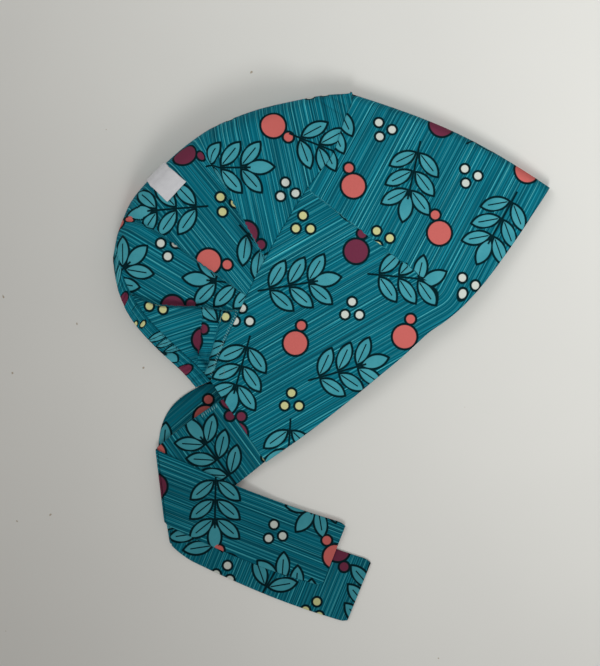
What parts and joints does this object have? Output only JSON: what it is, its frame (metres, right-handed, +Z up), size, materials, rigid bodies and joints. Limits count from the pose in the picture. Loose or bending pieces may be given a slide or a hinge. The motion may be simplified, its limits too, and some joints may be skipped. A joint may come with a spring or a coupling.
{
  "type": "surgical scrub cap",
  "caption": "Soft cotton surgical scrub cap lying folded on its side, with a darted front panel, gathered back crown, elastic nape casing and two ties.",
  "frame": {"origin": "middle of the cap's bounding box at its underside, where the far wall and the far tie lie on the surface", "axes": "+X towards the forehead fold, +Y from the brim towards the crown, +Z up from the surface it lies on"},
  "size_m": [0.3238, 0.2824, 0.0377],
  "materials": {
    "front_panel": "printed woven cotton, matte",
    "crown_near": "printed woven cotton, matte",
    "crown_far": "printed woven cotton, matte",
    "nape_casing": "printed woven cotton gathered over elastic, matte",
    "tie_near": "printed woven cotton, matte",
    "tie_far": "printed woven cotton, matte",
    "label": "smooth white woven ribbon, blank"
  },
  "bodies": {
    "root": {"front_panel": "front_panel", "crown_near": "crown_near", "crown_far": "crown_far", "nape_casing": "nape_casing", "tie_near": "tie_near", "tie_far": "tie_far", "label": "label"}
  },
  "joints": []
}
